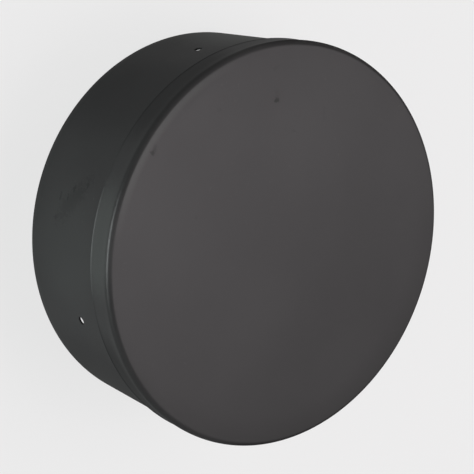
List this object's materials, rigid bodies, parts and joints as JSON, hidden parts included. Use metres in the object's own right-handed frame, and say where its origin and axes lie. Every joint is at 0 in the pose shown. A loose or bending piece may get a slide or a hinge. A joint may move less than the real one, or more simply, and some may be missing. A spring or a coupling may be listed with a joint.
{
  "type": "stovepipe cleanout cap",
  "caption": "Round black sheet steel cleanout cap: a short rolled collar with screw holes, closed by a pressed end plate lapped over its front.",
  "frame": {"origin": "centre of the open rim, in the plane that the cap stands on", "axes": "+Z along the cap's axis from the open rim to the closed end plate; the collar's welded seam is at +Y and the four screw holes are at 45, 135, 225 and 315 degrees from +X"},
  "size_m": [0.1556, 0.1556, 0.058],
  "materials": {
    "collar_paint": "satin black heat-resistant paint on rolled steel",
    "end_plate_paint": "satin black heat-resistant paint on pressed steel"
  },
  "bodies": {
    "root": {"collar": "collar_paint", "end_plate": "end_plate_paint"}
  },
  "joints": []
}
